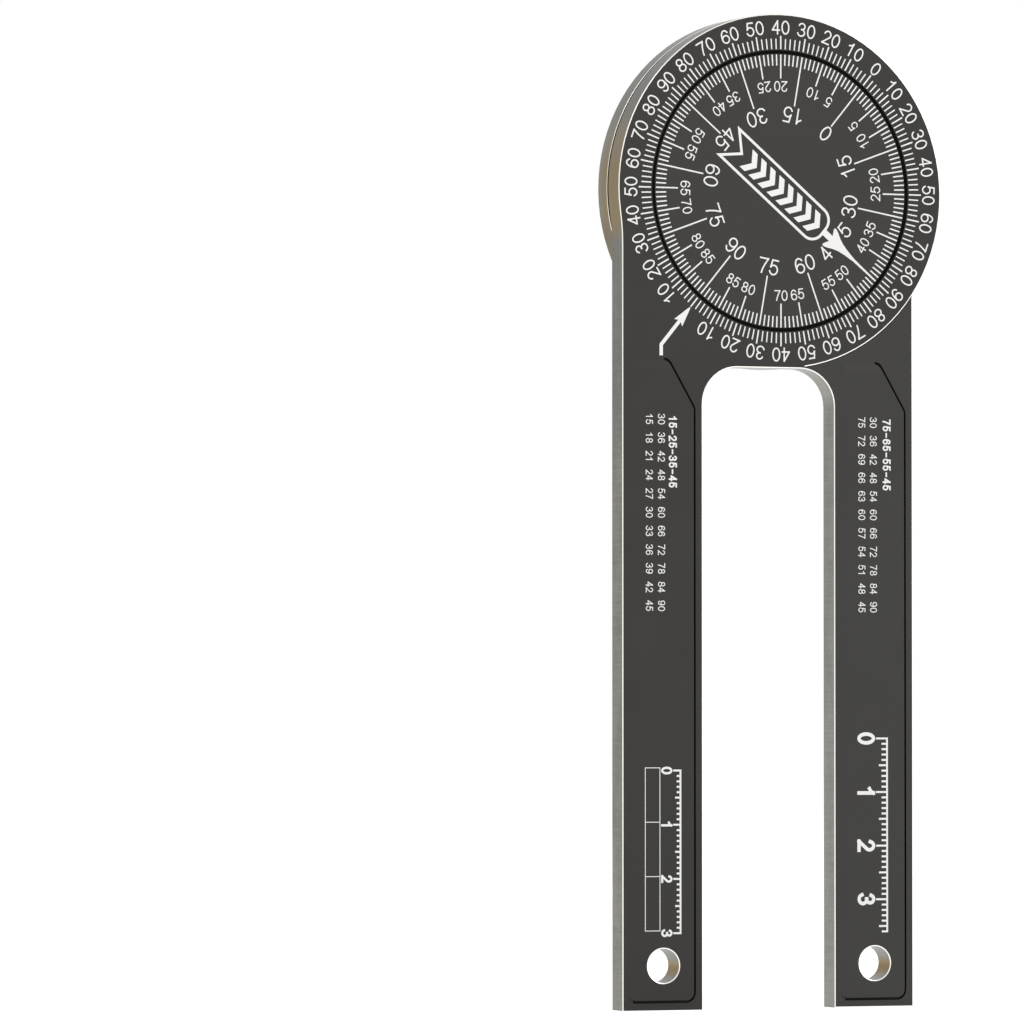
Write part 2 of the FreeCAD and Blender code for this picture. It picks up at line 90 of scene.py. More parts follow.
NOISE_SPAN = (0.3, 0.7)                         # noise between these values takes up the whole contrast
MOTTLE_SPAN = (0.25, 0.75)
STREAK_SPAN = (0.1, 0.5)
HEAD_LINES = 0.5                                # contrast of each pattern on the sides
LEG_LINES = 0.3
LEG_CLOUDS = 0.3

# Where the patterns on the sides fade in, from one height to another, in millimetres over the pivot.
LINES_FADE = (-26, -12)                         # cutter lines give way to the legs' mottle
RING_REFLECTION_FADE = (-11, -5.5)
DISC_REFLECTION_FADE = (-17, -10)
DISC_REFLECTION_WIDE = (-1, -9)                      # the painted reflection on the disc widens to its back edge here
REFLECTION_TOP_FADE = (18, 2)
TOP_SHADE_FADE = (7, 20)
DISC_SHADE_FADE = (-3, -10)
LEG_SHADE_FOOT = (-52, -40)
LEG_SHADE_HEAD = (-16, -27)

TOP_SHADE = 0.48                                # how strong the painted shade gets in each place
DISC_SHADE = 0.55
LEG_SHADE = 0.25
DISC_REFLECTION_DEPTH = (10.0 * MM, 6.0 * MM)        # behind the ring's face
TOP_SHADE_ACROSS = (-5 * MM, -18 * MM)
LEFT_SIDE = -20 * MM                            # the band of painted reflection and the low painted shade lie left of this
HOLE_TINT_HEIGHT = HANG_HOLE_HEIGHT - 0.6 * MM
HOLE_TINT_FADE = (2.0 * MM, 0.6 * MM)


def add(tree, kind, inputs, **settings):
    """New shader node. Each input, by name or number, is a plain value or the socket that feeds it."""
    node = tree.nodes.new("ShaderNode" + kind)
    for name, value in settings.items():
        setattr(node, name, value)
    for socket, value in inputs.items():
        if isinstance(value, bpy.types.NodeSocket):
            tree.links.new(value, node.inputs[socket])
        else:
            node.inputs[socket].default_value = value
    return node


def calc(tree, operation, first, second=0.0):
    return add(tree, "Math", {0: first, 1: second}, operation=operation).outputs[0]


def opposite(tree, value):
    return calc(tree, "SUBTRACT", 1.0, value)


def weighed(tree, base, *parts):
    """The base plus each part times its weight."""
    for part, weight in parts:
        base = calc(tree, "ADD", base, calc(tree, "MULTIPLY", part, weight))
    return base


def blend_colours(tree, amount, first, second, blend_type="MIX"):
    """Mix of two colours. The Mix node keeps its colour sockets at 6 and 7, and gives a colour at 2."""
    mix = add(tree, "Mix", {"Factor": amount, 6: first, 7: second}, data_type="RGBA", blend_type=blend_type)
    return mix.outputs[2]


def new_effect(name, inputs, outputs):
    """Empty node group of number sockets, with what goes in and what takes the results."""
    tree = bpy.data.node_groups.new(name, "ShaderNodeTree")
    for socket, value in inputs.items():
        given = tree.interface.new_socket(name=socket, in_out="INPUT", socket_type="NodeSocketFloat")
        given.default_value = value
    for socket in outputs:
        tree.interface.new_socket(name=socket, in_out="OUTPUT", socket_type="NodeSocketFloat")
    source = tree.nodes.new("NodeGroupInput")
    result = tree.nodes.new("NodeGroupOutput")
    return tree, source.outputs, result.inputs


def spaced(inputs):
    """Socket names as Blender writes them, with spaces for the underscores."""
    return {name.replace("_", " "): value for name, value in inputs.items()}


def use_effect(tree, effect, **inputs):
    return add(tree, "Group", spaced(inputs), node_tree=effect).outputs


def new_material(name, **constants):
    """Material with one Principled shader, whose constant sockets are set here."""
    material = bpy.data.materials.new(name)
    material.use_nodes = True
    tree = material.node_tree
    tree.nodes.clear()
    shader = add(tree, "BsdfPrincipled", spaced(constants))
    add(tree, "OutputMaterial", {0: shader.outputs[0]})
    return material, tree, shader


def link(tree, output, shader, socket):
    tree.links.new(output, shader.inputs[socket])


def roughen(tree, shader, height, bump_settings):
    """Small bumps on the surface from a height value."""
    bump = add(tree, "Bump", {"Height": height, **bump_settings})
    link(tree, bump.outputs[0], shader, "Normal")


def within(tree, value, low, high):
    """1 where the value lies between the two limits."""
    over = calc(tree, "GREATER_THAN", value, low)
    return calc(tree, "MULTIPLY", over, calc(tree, "LESS_THAN", value, high))


def ramp(tree, value, start, end, top=1.0):
    """Soft rise from 0 at the start to the top at the end, which may lie either side of the start."""
    rise = {"Value": value, "From Min": start, "From Max": end, "To Max": top}
    return add(tree, "MapRange", rise, interpolation_type="SMOOTHSTEP").outputs[0]


def rise_over_pivot(tree, place, fade, top=1.0):
    """Soft rise between two heights, in millimetres over the pivot."""
    return ramp(tree, place["Z"], PIVOT.z + fade[0] * MM, PIVOT.z + fade[1] * MM, top)


def distance_from(tree, place, across, up):
    """Distance from a point, measured in the plane of the faces."""
    aside = calc(tree, "SUBTRACT", place["X"], across)
    above = calc(tree, "SUBTRACT", place["Z"], up)
    squares = calc(tree, "ADD", calc(tree, "MULTIPLY", aside, aside), calc(tree, "MULTIPLY", above, above))
    return calc(tree, "SQRT", squares)


def stretched_noise(tree, lengthwise, through, detail=2.0):
    """Noise whose grains are this long along the plate and this wide through it, in millimetres."""
    stretch = (1 / lengthwise / MM, 1 / through / MM, 1 / lengthwise / MM)
    spot = add(tree, "VectorMath", {0: add(tree, "TexCoord", {}).outputs["Object"], 1: stretch},
               operation="MULTIPLY")
    return add(tree, "TexNoise", {"Vector": spot.outputs[0], "Scale": 1.0, "Detail": detail}).outputs[0]


def make_which_cut():
    """Masks for the finishes of a milled plate, from which way its surface looks and where it lies.
    One mask paints shade, near black, into the panels' grooves, the ring's bore and the gap
    before the rear disc.
    """
    tree, given, result = new_effect("which cut", {"Leg centre": 0.0},
                                     ("Face", "Bright", "Side", "Recess shade", "Turned"))
    looks = add(tree, "SeparateXYZ", {0: add(tree, "NewGeometry", {}).outputs["True Normal"]}).outputs
    place = add(tree, "SeparateXYZ", {0: add(tree, "TexCoord", {}).outputs["Object"]}).outputs
    facing = calc(tree, "ABSOLUTE", looks["Y"])
    flat = calc(tree, "GREATER_THAN", facing, FACE_ABOVE)
    upright = calc(tree, "LESS_THAN", facing, SIDE_BELOW)
    depth = calc(tree, "SUBTRACT", place["Y"], FACE_Y)
    across = calc(tree, "SUBTRACT", place["X"], given["Leg centre"])
    on_panel = calc(tree, "MULTIPLY", within(tree, across, -PANEL_REACH, PANEL_REACH),
                    within(tree, place["Z"], PANEL_FROM, PANEL_TO))
    from_hole = distance_from(tree, place, given["Leg centre"], HANG_HOLE_HEIGHT)
    on_panel = calc(tree, "MULTIPLY", on_panel, calc(tree, "GREATER_THAN", from_hole, HANG_HOLE_REACH))
    # Painted shade goes into the grooves, the bore and the gap before the rear disc.
    groove = calc(tree, "MULTIPLY", on_panel, within(tree, depth, STEP_TO, GROOVE_TO))
    raised_side = calc(tree, "MULTIPLY", upright, calc(tree, "LESS_THAN", depth, STEP_TO))
    step = calc(tree, "MULTIPLY", on_panel, raised_side)
    from_pivot = distance_from(tree, place, PIVOT.x, PIVOT.z)
    bore = calc(tree, "MULTIPLY", upright, calc(tree, "LESS_THAN", from_pivot, BORE_REACH))
    parting = calc(tree, "MULTIPLY", opposite(tree, upright), within(tree, depth, PARTING_FROM, PARTING_TO))
    recess_shade = calc(tree, "MAXIMUM", calc(tree, "MAXIMUM", groove, bore), parting)
    metal = opposite(tree, calc(tree, "MAXIMUM", recess_shade, step))
    slanted = opposite(tree, calc(tree, "ADD", flat, upright))
    face = calc(tree, "MAXIMUM", step, calc(tree, "MULTIPLY", flat, opposite(tree, recess_shade)))
    turned = calc(tree, "MULTIPLY", face, calc(tree, "GREATER_THAN", place["Y"], REAR_DISC_FROM))
    tree.links.new(face, result["Face"])
    tree.links.new(calc(tree, "MULTIPLY", slanted, metal), result["Bright"])
    tree.links.new(calc(tree, "MULTIPLY", upright, metal), result["Side"])
    tree.links.new(recess_shade, result["Recess shade"])
    tree.links.new(turned, result["Turned"])
    return tree


def make_blasted_grain():
    """Fine grain of a blasted and anodised face, with the faint clouds that the dye leaves."""
    tree, given, result = new_effect("blasted grain", {"Grain size": 0.3, "Cloud size": 14.0},
                                     ("Grain", "Clouds"))
    place = add(tree, "TexCoord", {}).outputs["Object"]
    for size, output, detail in (("Grain size", "Grain", 3.0), ("Cloud size", "Clouds", 2.0)):
        scale = calc(tree, "DIVIDE", 1.0 / MM, given[size])
        noise = add(tree, "TexNoise", {"Vector": place, "Scale": scale, "Detail": detail})
        tree.links.new(noise.outputs[0], result[output])
    return tree


def make_turning_lines():
    """Fine concentric lines round the pivot, as a lathe leaves them on a flat face."""
    tree, given, result = new_effect("turning lines", {"Spacing": 0.12}, ("Lines",))
    place = add(tree, "SeparateXYZ", {0: add(tree, "TexCoord", {}).outputs["Object"]}).outputs
    passes = calc(tree, "DIVIDE", distance_from(tree, place, PIVOT.x, PIVOT.z), given["Spacing"])
    noise = add(tree, "TexNoise", {"W": calc(tree, "DIVIDE", passes, MM), "Scale": 1.0, "Detail": 2.0},
                noise_dimensions="1D")
    tree.links.new(noise.outputs[0], result["Lines"])
    return tree


def make_machined_side():
    """Tone of the machined sides: cutter lines round the head, which fade into a soft mottle down the legs.
    Its warm output is painted: a warm reflection half-way down the head's left side, and a brown tint on
    the hang holes' walls right of their centre. Shade is painted shade: darker metal at the top of the
    head and low on its left side."""
    tree, given, result = new_effect("machined side", {"Hole centre": 0.0},
                                     ("Tone", "Lines", "Warm reflection and tint", "Shade"))
    place = add(tree, "SeparateXYZ", {0: add(tree, "TexCoord", {}).outputs["Object"]}).outputs
    depth = calc(tree, "SUBTRACT", place["Y"], FACE_Y)
    behind = calc(tree, "GREATER_THAN", depth, PARTING_FROM)
    on_left = calc(tree, "LESS_THAN", place["X"], LEFT_SIDE)

    on_head = rise_over_pivot(tree, place, LINES_FADE)
    on_leg = opposite(tree, on_head)
    head_noise = stretched_noise(tree, lengthwise=30.0, through=0.55, detail=4.0)
    leg_noise = stretched_noise(tree, lengthwise=0.4, through=9.0, detail=3.0)
    around_head = ramp(tree, head_noise, *NOISE_SPAN, HEAD_LINES)
    across_leg = ramp(tree, leg_noise, *MOTTLE_SPAN, LEG_LINES)
    cloudy = ramp(tree, stretched_noise(tree, lengthwise=9.0, through=4.0), *NOISE_SPAN, LEG_CLOUDS)
    streaks = ramp(tree, stretched_noise(tree, lengthwise=5.0, through=0.7), *STREAK_SPAN)
    lines = calc(tree, "ADD", calc(tree, "MULTIPLY", around_head, on_head),
                 calc(tree, "MULTIPLY", across_leg, on_leg))
    tone = calc(tree, "ADD", lines, calc(tree, "MULTIPLY", cloudy, on_leg))

    # A painted warm reflection lies in a band half-way down the head's left side; the hang holes get a brown
    # tint.
    on_ring = calc(tree, "MULTIPLY", rise_over_pivot(tree, place, RING_REFLECTION_FADE), opposite(tree, behind))
    on_disc = calc(tree, "MAXIMUM", ramp(tree, depth, *DISC_REFLECTION_DEPTH),
                   rise_over_pivot(tree, place, DISC_REFLECTION_WIDE))
    on_disc = calc(tree, "MULTIPLY", on_disc, rise_over_pivot(tree, place, DISC_REFLECTION_FADE))
    band = calc(tree, "ADD", on_ring, calc(tree, "MULTIPLY", on_disc, behind))
    band = calc(tree, "MULTIPLY", band, rise_over_pivot(tree, place, REFLECTION_TOP_FADE))
    band = calc(tree, "MULTIPLY", band, on_left)
    from_hole = distance_from(tree, place, given["Hole centre"], HANG_HOLE_HEIGHT)
    in_hole = calc(tree, "LESS_THAN", from_hole, HANG_HOLE_REACH)
    tint_height = calc(tree, "ABSOLUTE", calc(tree, "SUBTRACT", place["Z"], HOLE_TINT_HEIGHT))
    hole_tint = calc(tree, "MULTIPLY", ramp(tree, tint_height, *HOLE_TINT_FADE),
                      calc(tree, "GREATER_THAN", place["X"], given["Hole centre"]))
    warm_reflection_and_tint = calc(tree, "MAXIMUM", band, calc(tree, "MULTIPLY", in_hole, hole_tint))

    # Painted shade: darker at the top of the head and low on its left side, in streaks.
    on_top = calc(tree, "MULTIPLY", rise_over_pivot(tree, place, TOP_SHADE_FADE, TOP_SHADE),
                  ramp(tree, place["X"], *TOP_SHADE_ACROSS))
    below_head = calc(tree, "MULTIPLY", rise_over_pivot(tree, place, LEG_SHADE_FOOT),
                      rise_over_pivot(tree, place, LEG_SHADE_HEAD, LEG_SHADE))
    disc_end = calc(tree, "MULTIPLY", rise_over_pivot(tree, place, DISC_SHADE_FADE, DISC_SHADE), behind)
    low = calc(tree, "MULTIPLY", calc(tree, "MAXIMUM", below_head, disc_end), on_left)
    tree.links.new(tone, result["Tone"])
    tree.links.new(lines, result["Lines"])
    tree.links.new(calc(tree, "MULTIPLY", warm_reflection_and_tint, streaks), result["Warm reflection and tint"])
    tree.links.new(calc(tree, "MULTIPLY", calc(tree, "MAXIMUM", on_top, low), streaks), result["Shade"])
    return tree


which_cut = make_which_cut()
blasted_grain = make_blasted_grain()
turning_lines = make_turning_lines()
machined_side = make_machined_side()


def make_aluminium(name, leg_centre, pale_shift):
    """Finish of one arm. One arm's finish is made a little paler than the other's."""
    material, tree, shader = new_material(name, Specular_IOR_Level=0.15)
    cut = use_effect(tree, which_cut, Leg_centre=leg_centre)
    grain = use_effect(tree, blasted_grain)
    turned = ramp(tree, use_effect(tree, turning_lines, Spacing=0.45)["Lines"], *NOISE_SPAN)
    turned = calc(tree, "MULTIPLY", turned, cut["Turned"])
    cutter = use_effect(tree, machined_side, Hole_centre=leg_centre)
    tone = weighed(tree, pale_shift + FACE_TONE,
                   (grain["Grain"], 0.6), (grain["Clouds"], 0.4), (turned, 0.6))
    colour = blend_colours(tree, tone, CHARCOAL, CHARCOAL_PALE)
    side_tone = weighed(tree, pale_shift * SIDE_PALE_SHARE + SIDE_TONE, (cutter["Tone"], 1.0), (grain["Grain"], 0.8))
    side = blend_colours(tree, side_tone, SIDE_GREY, SIDE_SILVER)
    # Painted on the sides: the warm reflection with the holes' tint, then painted shade.
    side = blend_colours(tree, cutter["Warm reflection and tint"], side, SIDE_WARM)
    side = blend_colours(tree, cutter["Shade"], side, SIDE_SHADE)
    # The recesses get painted shade, near black.
    for mask, finish in (("Side", side), ("Bright", BRIGHT_CUT), ("Recess shade", RECESS_SHADE)):
        colour = blend_colours(tree, cut[mask], colour, finish)
    link(tree, colour, shader, "Base Color")
    link(tree, calc(tree, "ADD", cut["Side"], cut["Bright"]), shader, "Metallic")
    rough_face = weighed(tree, FACE_ROUGHNESS, (grain["Grain"], FACE_ROUGHNESS_GRAIN),
                         (grain["Clouds"], FACE_ROUGHNESS_CLOUDS))
    rough_side = weighed(tree, SIDE_ROUGHNESS, (cutter["Tone"], SIDE_ROUGHNESS_LINES))
    unmachined = calc(tree, "ADD", cut["Face"], cut["Recess shade"])
    rough = weighed(tree, 0.0, (cut["Side"], rough_side), (cut["Bright"], BRIGHT_ROUGHNESS),
                    (unmachined, rough_face))
    link(tree, rough, shader, "Roughness")
    height = weighed(tree, 0.0, (grain["Grain"], cut["Face"]), (turned, 0.7), (cutter["Lines"], cut["Side"]))
    roughen(tree, shader, height, GRAIN_BUMP)
    return material


def dress(node, material):
    frame["nodes"][node].material_slots[0].material = material


dress("right_arm", make_aluminium("right arm aluminium", LEG_CENTRE["right_arm"], pale_shift=0.35))


# ---- Thrust washer ----------------------------------------------------------------------------------
# A thin ring cut from white nylon sheet. It lies loose between the rear disc and the scale ring, so that
# metal doesn't rub on metal, and its edge lies just inside theirs.
NYLON = (0.62, 0.61, 0.57, 1)
NYLON_STAINED = (0.45, 0.44, 0.40, 1)

nylon, tree, shader = new_material("white nylon", Roughness=0.45)
grain = use_effect(tree, blasted_grain, Grain_size=1.2)
link(tree, blend_colours(tree, grain["Clouds"], NYLON, NYLON_STAINED), shader, "Base Color")
dress("thrust_washer", nylon)


# ---- Left arm: leg and scale ring -------------------------------------------------------------------
# The arm that stays: a leg with a wide ring at its top, milled from 5 mm plate and finished as the right
# arm is. The ring is bored for the dial, and a ledge in the bore carries the two black bearings.
dress("left_arm", make_aluminium("left arm aluminium", LEG_CENTRE["left_arm"], pale_shift=-0.02))


# ---- Black bearings ---------------------------------------------------------------------------------
# Two black rings turned from acetal. The outer one rests on the ledge in the left arm's bore, and its lip
# is the black line round the dial. The inner one lines the ledge and guides the hub. Their black is set
# darker than acetal's own, as painted shade for the gap round the dial.
# Painted shade: both blacks lie below acetal's own, so the gap round the dial looks unlit.
ACETAL_GAP_SHADE = (0.0012, 0.0012, 0.0012, 1)
ACETAL_GAP_SHADE_WORN = (0.004, 0.004, 0.004, 1)
ACETAL_ROUGHNESS = 0.45

acetal, tree, shader = new_material("black acetal with painted shade", Specular_IOR_Level=0.03)
grain = use_effect(tree, blasted_grain, Grain_size=0.2)
link(tree, blend_colours(tree, grain["Grain"], ACETAL_GAP_SHADE, ACETAL_GAP_SHADE_WORN), shader, "Base Color")
link(tree, weighed(tree, ACETAL_ROUGHNESS, (grain["Grain"], 0.3)), shader, "Roughness")
for name in ("rim_bearing", "hub_bearing"):
    dress(name, acetal)


# ---- Wave spring ------------------------------------------------------------------------------------
# A flat ring of spring steel bent into waves. It lies under the dial, where the dial's screws squeeze it,
# and gives the hinge its grip.
SPRING_STEEL = (0.40, 0.385, 0.36, 1)
SPRING_STEEL_BLUED = (0.24, 0.235, 0.24, 1)
SPRING_ROUGHNESS = 0.25

spring_steel, tree, shader = new_material("spring steel", Metallic=1.0)
grain = use_effect(tree, blasted_grain, Grain_size=0.5)
link(tree, blend_colours(tree, grain["Clouds"], SPRING_STEEL, SPRING_STEEL_BLUED), shader, "Base Color")
link(tree, weighed(tree, SPRING_ROUGHNESS, (grain["Grain"], 0.2)), shader, "Roughness")
dress("wave_spring", spring_steel)


# ---- Dial -------------------------------------------------------------------------------------------
# A round aluminium plate, flush with the ring, turned and then anodised all over in the arms' charcoal.
# Bosses on its back take the screws, so its front is unbroken.
DIAL_CHARCOAL = (0.032, 0.0305, 0.0280, 1)
DIAL_CHARCOAL_PALE = (0.0428, 0.0413, 0.0383, 1)
DIAL_TONE = -0.23
DIAL_ROUGHNESS = 0.45

dial_finish, tree, shader = new_material("dial aluminium", Specular_IOR_Level=0.15)
grain = use_effect(tree, blasted_grain)
turned = use_effect(tree, turning_lines, Spacing=0.2)["Lines"]
tone = weighed(tree, DIAL_TONE, (grain["Grain"], 0.8), (grain["Clouds"], 0.4), (turned, 0.15))
link(tree, blend_colours(tree, tone, DIAL_CHARCOAL, DIAL_CHARCOAL_PALE), shader, "Base Color")
link(tree, weighed(tree, DIAL_ROUGHNESS, (grain["Grain"], 0.1)), shader, "Roughness")
roughen(tree, shader, weighed(tree, grain["Grain"], (turned, 0.3)), GRAIN_BUMP)
dress("dial_plate", dial_finish)


# ---- Screws and locating pins -----------------------------------------------------------------------
# Four flat socket screws of stainless steel go in from the back and hold the dial to the hub. Two ground
# pins of the same steel set the dial's zero.
STAINLESS = (0.55, 0.54, 0.52, 1)
STAINLESS_SHADE = (0.36, 0.355, 0.345, 1)
STAINLESS_ROUGHNESS = 0.22

stainless, tree, shader = new_material("stainless steel", Metallic=1.0)
grain = use_effect(tree, blasted_grain, Grain_size=0.4)
link(tree, blend_colours(tree, grain["Grain"], STAINLESS, STAINLESS_SHADE), shader, "Base Color")
link(tree, weighed(tree, STAINLESS_ROUGHNESS, (grain["Grain"], 0.2)), shader, "Roughness")
for name in frame["nodes"]:
    if name.startswith(("dial_screw_", "locating_pin_")):
        dress(name, stainless)


# ---- Tick marks of both scales ----------------------------------------------------------------------
# White marks printed on the anodised faces with a stiff epoxy ink, which stands a hair above the metal.
# The ring has a mark every 2 degrees. The dial's marks count half degrees of corner, so they match.
# Drawings are in millimetres from the pivot, x across and y up; place_print lays them on the metal.
INK_HALF = 0.012
INK_LAYER = 0.001                               # where strokes cross, each lies this much over the last
INK = (0.755, 0.75, 0.73, 1)
INK_THIN = (0.69, 0.685, 0.665, 1)
INK_BUMP = {"Strength": 0.2, "Distance": 0.02 * MM}
TICK_STEP = 2
RING_TICK_FROM = 26.45
RING_TICK_TO = 28.4
RING_LONG_TICK_TO = 28.95
RING_ZERO = 40                                  # scale zero, clockwise from the top
ARROW_MARK = 45                                 # the banner's arrow takes this mark's place
DIAL_TICK_FROM = 25.45
DIAL_TICK_TO = 23.4
DIAL_FIVE_TO = 21.0
DIAL_FIFTEEN_TO = 16.1
RING_TICK = 0.235
DIAL_TICK = 0.255
LONG_TICK = 0.27

ink, tree, shader = new_material("white ink", Roughness=0.55, Specular_IOR_Level=0.3)
grain = use_effect(tree, blasted_grain, Grain_size=0.35, Cloud_size=6.0)
mottle = calc(tree, "MULTIPLY", grain["Grain"], grain["Clouds"])
link(tree, blend_colours(tree, mottle, INK, INK_THIN), shader, "Base Color")
roughen(tree, shader, grain["Grain"], INK_BUMP)


def bar(drawing, start, end, width, spin=0.0):
    """Straight ink stroke on the drawing between two heights, turned clockwise about the pivot."""
    turn = Matrix.Rotation(radians(-spin), 4, "Z")
    middle = Matrix.Translation((0, (start + end) / 2, 0))
    size = Matrix.Diagonal((width, abs(end - start), 2 * INK_HALF, 1))
    bmesh.ops.create_cube(drawing, size=1.0, matrix=turn @ middle @ size)


def place_print(name, drawing, body, level=FACE_Y):
    """Lays a drawing on the face at this level, as a printed piece that rides on the body."""
    bmesh.ops.recalc_face_normals(drawing, faces=drawing.faces)
    stand = Matrix.Rotation(radians(90), 4, "X") @ Matrix.Scale(MM, 4)
    drawing.transform(Matrix.Translation((PIVOT.x, level, PIVOT.z)) @ stand)
    mesh = bpy.data.meshes.new(name)
    drawing.to_mesh(mesh)
    drawing.free()
    mesh.materials.append(ink)
    piece = bpy.data.objects.new(name, mesh)
    bpy.context.scene.collection.objects.link(piece)
    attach(piece, body)


ring_ticks = bmesh.new()
for angle in range(0, 360, TICK_STEP):
    long_tick = (angle - RING_ZERO) % 10 == 0
    outer = RING_LONG_TICK_TO if long_tick else RING_TICK_TO
    bar(ring_ticks, RING_TICK_FROM, outer, LONG_TICK if long_tick else RING_TICK, angle)
place_print("ring_ticks", ring_ticks, "left_arm_body")

dial_ticks = bmesh.new()
for value in range(-89, 91):
    angle = RING_ZERO + TICK_STEP * value
    if value == ARROW_MARK:
        continue
    inner = DIAL_FIFTEEN_TO if value % 15 == 0 else DIAL_FIVE_TO if value % 5 == 0 else DIAL_TICK_TO
    bar(dial_ticks, inner, DIAL_TICK_FROM, LONG_TICK if value % 5 == 0 else DIAL_TICK, angle)
place_print("dial_ticks", dial_ticks, "right_arm_body")


# ---- Numerals of both scales ------------------------------------------------------------------------
# The same ink, in plain upright numerals of even stroke. On the ring their tops point outwards and count
# 0-90-0 both ways from zero; on the dial they point to the centre, and only the fifteens are large.
NUMERAL_WIDTH = 0.63                            # of the height, stroke included
NUMERAL_PITCH = 0.735
RING_NUMERAL_STEP = 10
RING_NUMERAL_HEIGHT = 2.65
RING_NUMERAL_RADIUS = 30.5
RING_STROKE = 0.275
DIAL_LARGE_HEIGHT = 3.0
DIAL_LARGE_RADIUS = 14.35
DIAL_LARGE_STROKE = 0.29
TAIL_NUMERAL_RADIUS = 14.75                     # the 45 at the banner's tail stands a little further out
DIAL_SMALL_HEIGHT = 2.0
DIAL_SMALL_RADIUS = 19.5
DIAL_SMALL_STROKE = 0.215
SPLIT_FIGURES = {"4": (14.45, -2.9), "5": (14.55, 3.07)}     # the 45 astride the arrow: along it, beside it
SAME_POINT = 0.001                              # a stroke that ends this near its start is a loop


def bow(centre, radius, start, end, steps=12):
    """Points of an arc in a numeral's unit box, in degrees counter-clockwise from the right."""
    turns = [radians(start + (end - start) * step / steps) for step in range(steps + 1)]
    return [(centre[0] + radius[0] * cos(turn), centre[1] + radius[1] * sin(turn)) for turn in turns]


SIX = [bow((.5, .3), (.5, .3), 0, 360), [(0, .3), (0, .5)] + bow((.52, .5), (.52, .5), 180, 38)]
FIGURES = {
    "0": [bow((.5, .5), (.5, .5), 0, 360, 20)],
    "1": [[(.6, 0), (.6, 1)], [(.6, .97), (.42, .82), (.12, .72)]],
    "2": [bow((.5, .71), (.46, .29), 168, -30) + [(.0, .0)], [(0, 0), (1, 0)]],
    "3": [bow((.47, .755), (.43, .245), 165, -90), bow((.47, .265), (.5, .265), 90, -165)],
    "4": [[(.73, 0), (.73, 1)], [(.73, 1), (0, .31)], [(0, .29), (1, .29)]],
    "5": [[(.92, 1), (.2, 1)], [(.2, 1), (.07, .5)], bow((.47, .33), (.5, .33), 145, -160)],
    "6": SIX,
    "7": [[(0, 1), (1, 1)], [(1, 1), (.66, .6), (.45, .25), (.37, 0)]],
    "8": [bow((.5, .755), (.42, .245), 0, 360), bow((.5, .265), (.5, .265), 0, 360)],
    "9": [[(1 - x, 1 - y) for x, y in stroke] for stroke in SIX],
    "-": [[(.1, .45), (.9, .45)]],
}


def write(drawing, text, height, stroke, centre, turn):
    """Numerals centred on a point, their tops turned clockwise from straight up."""
    pen = bpy.data.curves.new("pen", "CURVE")
    pen.dimensions = "3D"
    pen.twist_mode = "Z_UP"
    pen.bevel_depth = stroke / sqrt(2)
    pen.bevel_resolution = 0
    pen.use_fill_caps = True
    width = NUMERAL_WIDTH * height - stroke
    tall = height - stroke
    for index, figure in enumerate(text):
        left = (index - (len(text) - 1) / 2) * NUMERAL_PITCH * height - width / 2
        for layer, path in enumerate(FIGURES[figure]):
            lift = layer * INK_LAYER * stroke / (2 * INK_HALF)
            points = [Vector((left + x * width, (y - .5) * tall)) for x, y in path]
            spline = pen.splines.new("POLY")
            spline.use_smooth = False
            if (points[0] - points[-1]).length < SAME_POINT:
                points.pop()
                spline.use_cyclic_u = True
            else:
                points[0] += (points[0] - points[1]).normalized() * stroke / 2
                points[-1] += (points[-1] - points[-2]).normalized() * stroke / 2
            spline.points.add(len(points) - 1)
            for spot, point in zip(spline.points, points):
                spot.co = (point.x, point.y, lift, 1)
                spot.tilt = radians(45)
    writer = bpy.data.objects.new("writer", pen)
    bpy.context.scene.collection.objects.link(writer)
    bpy.context.view_layer.update()
    mesh = bpy.data.meshes.new_from_object(writer.evaluated_get(bpy.context.evaluated_depsgraph_get()))
    flatten = Matrix.Diagonal((1, 1, 2 * INK_HALF / stroke, 1))
    stand = Matrix.Translation((centre[0], centre[1], 0)) @ Matrix.Rotation(radians(-turn), 4, "Z")
    mesh.transform(stand @ flatten)
    drawing.from_mesh(mesh)
    bpy.data.objects.remove(writer)
    bpy.data.curves.remove(pen)
    bpy.data.meshes.remove(mesh)


def around(radius, angle):
    """Point at a radius from the pivot, clockwise from the top."""
    return radius * sin(radians(angle)), radius * cos(radians(angle))


ring_numerals = bmesh.new()
half_turn = 180 // RING_NUMERAL_STEP
for step in range(1 - half_turn, half_turn):
    value = min(abs(step), half_turn - abs(step)) * RING_NUMERAL_STEP
    angle = RING_ZERO + RING_NUMERAL_STEP * step
    spot = around(RING_NUMERAL_RADIUS, angle)
    write(ring_numerals, str(value), RING_NUMERAL_HEIGHT, RING_STROKE, spot, angle)
place_print("ring_numerals", ring_numerals, "left_arm_body")

dial_numerals = bmesh.new()
for value in range(-85, 91, 5):
    angle = RING_ZERO + TICK_STEP * value
    large = value % 15 == 0
    height = DIAL_LARGE_HEIGHT if large else DIAL_SMALL_HEIGHT
    radius = DIAL_LARGE_RADIUS if large else DIAL_SMALL_RADIUS
    if value == -ARROW_MARK:
        radius = TAIL_NUMERAL_RADIUS
    weight = DIAL_LARGE_STROKE if large else DIAL_SMALL_STROKE
    if value == ARROW_MARK:
        for figure, (along, beside) in SPLIT_FIGURES.items():
            spot = Matrix.Rotation(radians(-angle), 2) @ Vector((-beside, along))
            write(dial_numerals, figure, height, weight, spot, angle + 180)
    else:
        write(dial_numerals, str(abs(value)), height, weight, around(radius, angle), angle + 180)
place_print("dial_numerals", dial_numerals, "right_arm_body")


